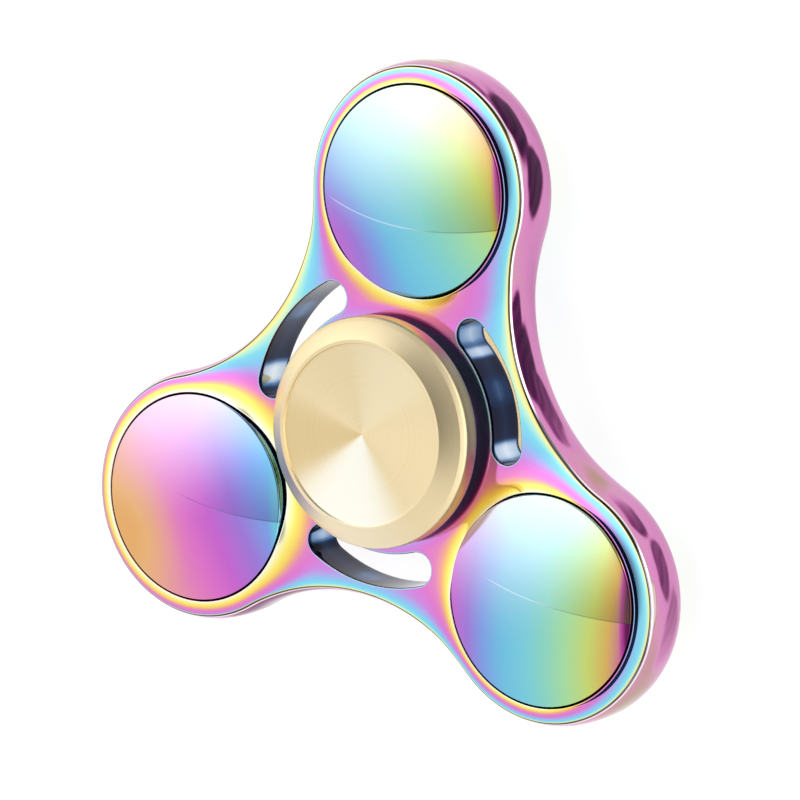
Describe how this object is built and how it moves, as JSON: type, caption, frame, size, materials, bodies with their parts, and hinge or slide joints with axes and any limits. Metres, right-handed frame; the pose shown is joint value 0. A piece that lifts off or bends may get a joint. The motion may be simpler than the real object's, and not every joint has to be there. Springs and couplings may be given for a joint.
{
  "type": "fidget spinner",
  "caption": "Metal fidget spinner: lobed plated frame with domed round weights and curved slots, turning on a shielded ball bearing between dished brass finger caps.",
  "frame": {"origin": "centre of the bearing, halfway through the frame's thickness, on the spin axis", "axes": "+Z along the spin axis towards the upper finger cap, +Y from the spin axis to the first lobe"},
  "size_m": [0.0612, 0.0562, 0.0132],
  "materials": {
    "frame_plating": "polished",
    "dome_plating": "polished",
    "cap_brass": "satin",
    "stud_steel": "satin",
    "race_steel": "polished",
    "cage_steel": "satin",
    "ball_steel": "polished",
    "shield_steel": "satin"
  },
  "bodies": {
    "hub": {"finger_cap_top": "cap_brass", "finger_cap_bottom": "cap_brass", "hub_stud": "stud_steel", "bearing_inner_race": "race_steel"},
    "rotor": {"frame": "frame_plating", "bearing_outer_race": "race_steel", "bearing_shield_top": "shield_steel", "bearing_shield_bottom": "shield_steel", "shield_snap_ring_top": "shield_steel", "shield_snap_ring_bottom": "shield_steel", "dome_studs": "stud_steel", "dome_1_top": "dome_plating", "dome_1_bottom": "dome_plating", "dome_2_top": "dome_plating", "dome_2_bottom": "dome_plating", "dome_3_top": "dome_plating", "dome_3_bottom": "dome_plating"},
    "cage": {"bearing_cage": "cage_steel"},
    "ball_01": {"bearing_ball_01": "ball_steel"},
    "ball_02": {"bearing_ball_02": "ball_steel"},
    "ball_03": {"bearing_ball_03": "ball_steel"},
    "ball_04": {"bearing_ball_04": "ball_steel"},
    "ball_05": {"bearing_ball_05": "ball_steel"},
    "ball_06": {"bearing_ball_06": "ball_steel"},
    "ball_07": {"bearing_ball_07": "ball_steel"},
    "ball_08": {"bearing_ball_08": "ball_steel"},
    "ball_09": {"bearing_ball_09": "ball_steel"},
    "ball_10": {"bearing_ball_10": "ball_steel"}
  },
  "joints": [
    {"name": "rotor_spin", "type": "hinge", "parent": "hub", "child": "rotor", "pos_m": [0, 0, 0], "axis": [0, 0, 1], "continuous": true},
    {"name": "cage_spin", "type": "hinge", "parent": "hub", "child": "cage", "pos_m": [0, 0, 0], "axis": [0, 0, 1], "continuous": true},
    {"name": "ball_01_spin", "type": "hinge", "parent": "cage", "child": "ball_01", "pos_m": [0.00476, 0, 0], "axis": [0, 0, 1], "continuous": true},
    {"name": "ball_02_spin", "type": "hinge", "parent": "cage", "child": "ball_02", "pos_m": [0.00385, 0.0028, 0], "axis": [0, 0, 1], "continuous": true},
    {"name": "ball_03_spin", "type": "hinge", "parent": "cage", "child": "ball_03", "pos_m": [0.00147, 0.00453, 0], "axis": [0, 0, 1], "continuous": true},
    {"name": "ball_04_spin", "type": "hinge", "parent": "cage", "child": "ball_04", "pos_m": [-0.00147, 0.00453, 0], "axis": [0, 0, 1], "continuous": true},
    {"name": "ball_05_spin", "type": "hinge", "parent": "cage", "child": "ball_05", "pos_m": [-0.00385, 0.0028, 0], "axis": [0, 0, 1], "continuous": true},
    {"name": "ball_06_spin", "type": "hinge", "parent": "cage", "child": "ball_06", "pos_m": [-0.00476, 0, 0], "axis": [0, 0, 1], "continuous": true},
    {"name": "ball_07_spin", "type": "hinge", "parent": "cage", "child": "ball_07", "pos_m": [-0.00385, -0.0028, 0], "axis": [0, 0, 1], "continuous": true},
    {"name": "ball_08_spin", "type": "hinge", "parent": "cage", "child": "ball_08", "pos_m": [-0.00147, -0.00453, 0], "axis": [0, 0, 1], "continuous": true},
    {"name": "ball_09_spin", "type": "hinge", "parent": "cage", "child": "ball_09", "pos_m": [0.00147, -0.00453, 0], "axis": [0, 0, 1], "continuous": true},
    {"name": "ball_10_spin", "type": "hinge", "parent": "cage", "child": "ball_10", "pos_m": [0.00385, -0.0028, 0], "axis": [0, 0, 1], "continuous": true}
  ],
  "couplings": [
    {"joint": "cage_spin", "follows": "rotor_spin", "ratio": 0.58336},
    {"joint": "ball_01_spin", "follows": "rotor_spin", "ratio": 2.9157},
    {"joint": "ball_02_spin", "follows": "rotor_spin", "ratio": 2.9157},
    {"joint": "ball_03_spin", "follows": "rotor_spin", "ratio": 2.9157},
    {"joint": "ball_04_spin", "follows": "rotor_spin", "ratio": 2.9157},
    {"joint": "ball_05_spin", "follows": "rotor_spin", "ratio": 2.9157},
    {"joint": "ball_06_spin", "follows": "rotor_spin", "ratio": 2.9157},
    {"joint": "ball_07_spin", "follows": "rotor_spin", "ratio": 2.9157},
    {"joint": "ball_08_spin", "follows": "rotor_spin", "ratio": 2.9157},
    {"joint": "ball_09_spin", "follows": "rotor_spin", "ratio": 2.9157},
    {"joint": "ball_10_spin", "follows": "rotor_spin", "ratio": 2.9157}
  ]
}
